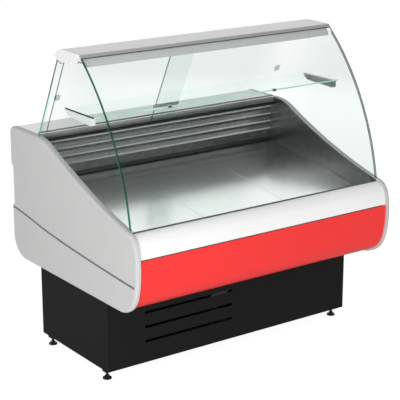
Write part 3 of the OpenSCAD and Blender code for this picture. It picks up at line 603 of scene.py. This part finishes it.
def louvres():
    """Rear air grille: a back sheet with slots, and four hooded blades with a rolled lip that is painted
    lighter as a highlight.
    """
    (x0, _, z0), (x1, _, z1) = mm_box("louvre_panel")
    count, first, pitch = 4, 755, 34
    verts, faces, index = [], [], []

    def add(outline, a, b, highlight_sides=()):
        n, k = len(outline), len(verts)
        verts.extend((x, y, z) for x in (a, b) for y, z in outline)
        faces.extend((k + i, k + (i + 1) % n, k + n + (i + 1) % n, k + n + i) for i in range(n))
        faces.extend((tuple(k + i for i in reversed(range(n))), tuple(k + n + i for i in range(n))))
        index.extend([1 if i in highlight_sides else 0 for i in range(n)] + [0, 0])

    hood = [(296.4, 22), (290.6, 8.6), (289.6, 7)]
    lip = arc((288.2, 3.2), 3.2, 82, 270, 14)
    blade = hood + lip + [(295, 0), (295, 2), (291, 3), (291, 5), (297, 19)]
    for i in range(count):
        # sides 2 to 17 are the rolled lip, painted lighter as a highlight
        add([(y, z + first + pitch * i) for y, z in blade], x0, x1, range(2, 18))
    # back sheet between the slots
    rows = [z0] + [z + pitch * i for i in range(count) for z in (first + 2.5, first + 15)] + [z1]
    for low, high in zip(rows[::2], rows[1::2]):
        add([(298, low), (298, high), (296, high), (296, low)], x0, x1)
    for i in range(count):
        for a, b in ((x0, -570), (-300, -280), (-10, 10), (280, 300), (570, x1)):
            low, high = rows[2 * i + 1:2 * i + 3]
            add([(298, low), (298, high), (296, high), (296, low)], a, b)
    obj = mesh_piece("air_grille", verts, faces, [LOOK["stainless"], LOOK["stainless_lip_highlight"]], index)
    stand_for(soften(obj, limit=40), "louvre_panel")


louvres()

# ---------------------------------------------------------------- CAD nodes that stay

ROUNDED = {
    "plinth_front_panel": 0.6, "plinth_left_panel": 0.6, "plinth_right_panel": 0.6, "service_grille": 0.4,
    "worktop": 1.2, "canopy_profile": 1.5, "canopy_cap_left": 1.2, "canopy_cap_right": 1.2,
    "control_panel": 1.0, "thermostat_body": 0.8, "light_switch": 0.5, "power_switch": 0.5,
    "shelf_bracket_left": 0.8, "shelf_bracket_right": 0.8, "electrical_box": 2.0,
    "deck_tray_left": 0.6, "deck_tray_centre": 0.6, "deck_tray_right": 0.6,
}
# nodes that look different from the rest of their material slot. Several carry painted light: highlights on
# the deck tray edges, shade on the tub liner towards the customer side, a darker right shelf bracket as
# painted shade, and a black drain pipe as painted shade behind the plinth slots
OWN = {
    "deck_tray_left": "stainless_deck", "deck_tray_centre": "stainless_deck",
    "deck_tray_right": "stainless_deck", "tub_liner": "stainless_wall", "glass_hinge_rail": "hinge_grey",
    "shelf_bracket_right": "bracket_painted_shade", "door_pull_left": "pull_plastic",
    "door_pull_right": "pull_plastic", "drain_pipe": "black_plastic",
}
for node, obj in NODES.items():
    if obj.hide_render:
        continue
    look = OWN.get(node, SLOT_OF[node])
    obj.data.materials.clear()
    obj.data.materials.append(LOOK[look])
    if node in ROUNDED:
        m = obj.modifiers.new("join", "WELD")
        m.merge_threshold = 0.00001
        m = obj.modifiers.new("rounding", "BEVEL")
        m.width, m.segments = ROUNDED[node] * MM, 2
        m.limit_method, m.angle_limit = "ANGLE", math.radians(30)

# ---------------------------------------------------------------- floor, light, camera

centre = (CAD_LO + CAD_HI) / 2
size = CAD_HI - CAD_LO


def floor():
    """Pale floor: white to the camera with a faint contact shadow, greyer in what it throws back."""
    k = Look("floor")
    base = k.shade((0.22, 0.22, 0.22), 0.01, 900)
    seen = k.add("AddShader", {0: k.surface(Base_Color=base, Roughness=0.8, Specular_IOR_Level=0.0),
                               1: k.add("Emission", {"Color": (1, 1, 1, 1), "Strength": 0.93})})
    rays = k.add("LightPath").node
    glow = k.span(rays.outputs["Is Glossy Ray"], 0.52, 0.10, 0.0, 1.0)
    bounce = k.add("AddShader", {0: k.add("BsdfDiffuse", {"Color": (0.25, 0.25, 0.25, 1)}),
                                 1: k.add("Emission", {"Color": (1, 1, 1, 1), "Strength": glow})})
    mat = k.done(k.add("MixShader", {0: rays.outputs["Is Camera Ray"], 1: bounce, 2: seen}))
    r = 40 / MM
    obj = mesh_piece("studio_floor", [(-r, -r, 0), (r, -r, 0), (r, r, 0), (-r, r, 0)], [(0, 1, 2, 3)], [mat])
    obj.location.z = CAD_LO.z


floor()


def world():
    """White to the camera. As light it is stronger from the level than from above. In mirrors it is bright
    behind the counter and overhead and dim in front, so steel shows tone."""
    w = bpy.data.worlds.new("studio")
    bpy.context.scene.world = w
    w.use_nodes = True
    k = Look.__new__(Look)
    k.tree = w.node_tree
    k.tree.nodes.clear()
    parts = k.add("SeparateXYZ", {0: k.add("TexCoord", out="Generated")}).node
    up = parts.outputs[2]
    high = k.maths("ADD", k.span(up, 0.0, 0.45, 0.15, 0.9), k.span(up, 0.0, 1.1, 0.62, 0.75))
    rear = k.span(parts.outputs[1], 0.0, 1.25, 0.15, 0.6)
    mirrored = k.maths("ADD", k.maths("ADD", high, rear), 0.19)
    path = k.add("LightPath").node
    lit = k.span(up, 0.95, 0.18, 0.05, 0.7)
    strength = k.add("Mix", {0: path.outputs["Is Glossy Ray"], 2: lit, 3: mirrored})
    strength = k.add("Mix", {0: path.outputs["Is Camera Ray"], 2: strength, 3: 1.0})
    k.add("OutputWorld", {"Surface": k.add("Background", {"Color": (1, 1, 1, 1), "Strength": strength})})


world()


def lamp(name, place, aim, width, height, power):
    """A soft box that lights the object but is seen neither by the camera nor in mirrors."""
    data = bpy.data.lights.new(name, "AREA")
    data.shape, data.size, data.size_y, data.energy = "RECTANGLE", width, height, power
    obj = bpy.data.objects.new(name, data)
    bpy.context.scene.collection.objects.link(obj)
    obj.location = place
    obj.rotation_euler = (Vector(aim) - Vector(place)).to_track_quat("-Z", "Y").to_euler()
    obj.visible_glossy = obj.visible_camera = False


lamp("key", (-3.6, -3.7, 1.3), (0, -0.1, 0.6), 3.0, 2.0, 178)
lamp("rear", (3.4, 3.8, 1.9), (0, 0.2, 0.7), 3.0, 2.0, 65)

AZIMUTH, ELEVATION = math.radians(-35.69), math.radians(16.83)
DISTANCE, LENS = 5.653, 121.95


def camera():
    """Seen from the front left, a little above, through a long lens."""
    data = bpy.data.cameras.new("camera")
    obj = bpy.data.objects.new("camera", data)
    bpy.context.scene.collection.objects.link(obj)
    data.sensor_width, data.lens = 36, LENS
    data.clip_start, data.clip_end = 0.1, 200
    back = Vector((math.sin(AZIMUTH) * math.cos(ELEVATION), -math.cos(AZIMUTH) * math.cos(ELEVATION),
                   math.sin(ELEVATION)))
    target = Vector((centre.x - 0.004, centre.y, CAD_LO.z + 0.4606 * size.z))
    obj.location = target + back * DISTANCE
    obj.rotation_euler = (math.pi / 2 - ELEVATION, 0, AZIMUTH)
    bpy.context.scene.camera = obj


camera()
bpy.context.scene.view_settings.view_transform = "Standard"
bpy.context.scene.cycles.transparent_max_bounces = 32
bpy.context.scene.cycles.max_bounces = 12
